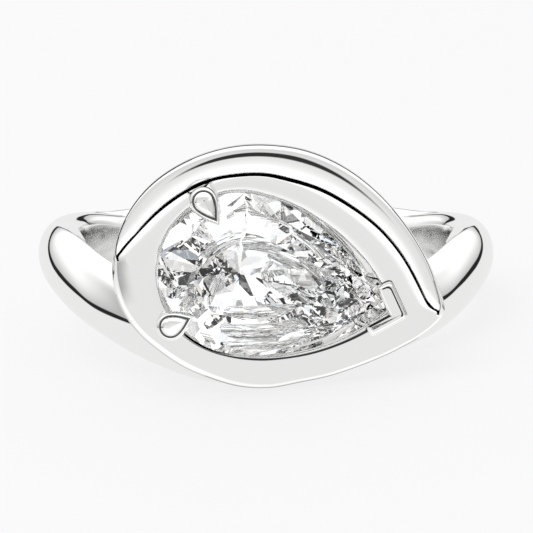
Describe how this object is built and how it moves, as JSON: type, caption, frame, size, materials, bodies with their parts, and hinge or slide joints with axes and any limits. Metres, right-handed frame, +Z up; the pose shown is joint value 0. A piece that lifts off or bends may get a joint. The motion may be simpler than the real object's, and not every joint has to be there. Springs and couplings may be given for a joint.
{
  "type": "pear-cut stone ring",
  "caption": "Crossover ring: a rounded band rises to a flat pear-shaped plate with a raised rim, and a clawed setting holds a pear-cut stone.",
  "frame": {"origin": "centre of the finger hole", "axes": "+Z up as the ring lies on its side, the head faces -Y and is tipped up, +X to the right of the head seen from its front"},
  "size_m": [0.02, 0.0229, 0.0103],
  "materials": {
    "white_gold": "mirror-polished white gold",
    "moissanite": "faceted and polished clear stone"
  },
  "bodies": {
    "root": {"band": "white_gold", "setting": "white_gold", "stone": "moissanite"}
  },
  "joints": []
}
